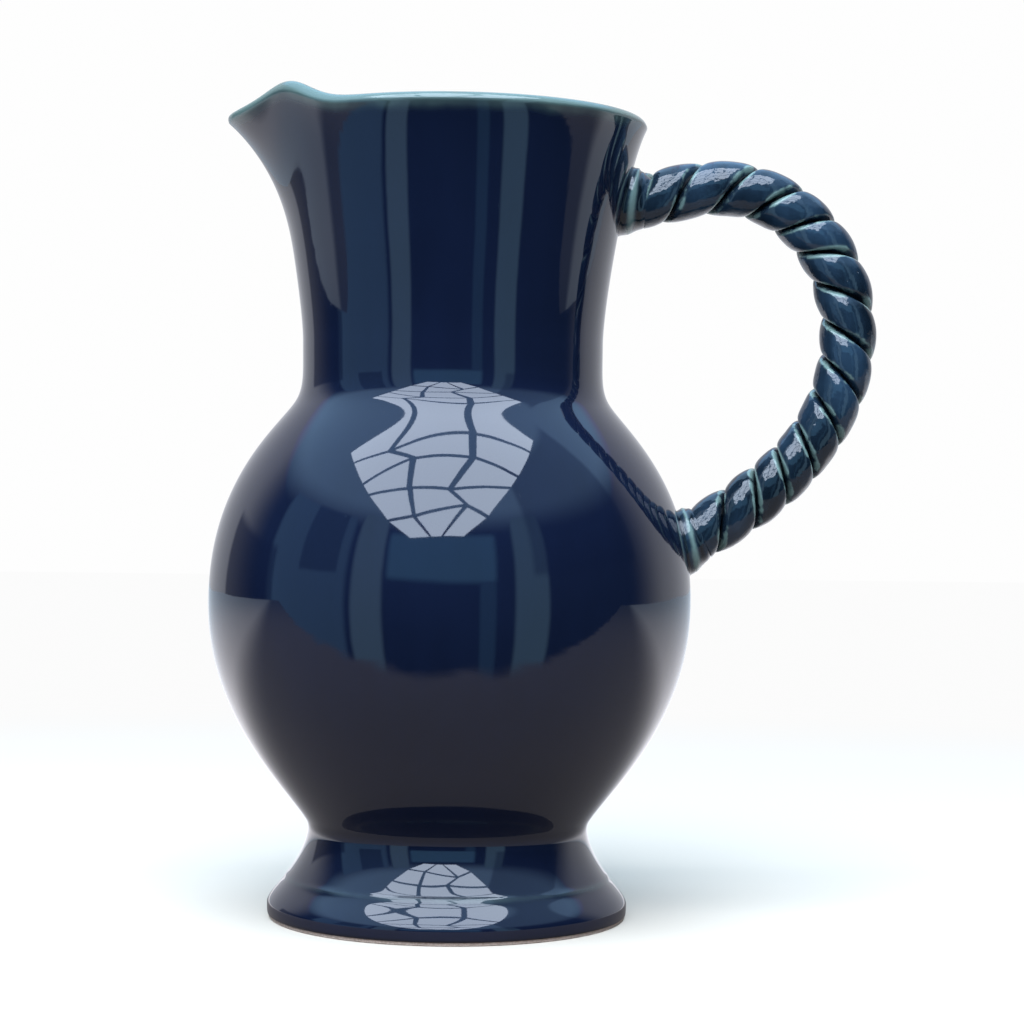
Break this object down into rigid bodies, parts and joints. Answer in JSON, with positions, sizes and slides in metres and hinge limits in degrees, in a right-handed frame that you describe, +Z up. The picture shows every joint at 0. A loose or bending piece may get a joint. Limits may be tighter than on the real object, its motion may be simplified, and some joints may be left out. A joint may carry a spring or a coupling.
{
  "type": "pitcher",
  "caption": "Glazed ceramic pitcher with a flared foot, a round belly, a tall flared neck with a pulled pouring lip, and a twisted rope handle.",
  "frame": {"origin": "centre of the standing ring, on the vessel's own axis, in the plane of the table", "axes": "+Z up along the vessel's axis; +X towards the handle; -X towards the pouring lip; Y completes a right-handed frame"},
  "size_m": [0.2096, 0.1516, 0.2573],
  "materials": {
    "body_glaze": "gloss",
    "handle_glaze": "gloss"
  },
  "bodies": {
    "root": {"foot": "body_glaze", "belly": "body_glaze", "neck": "body_glaze", "upper_collar": "handle_glaze", "lower_collar": "handle_glaze", "rope_strand_a": "handle_glaze", "rope_strand_b": "handle_glaze"}
  },
  "joints": []
}
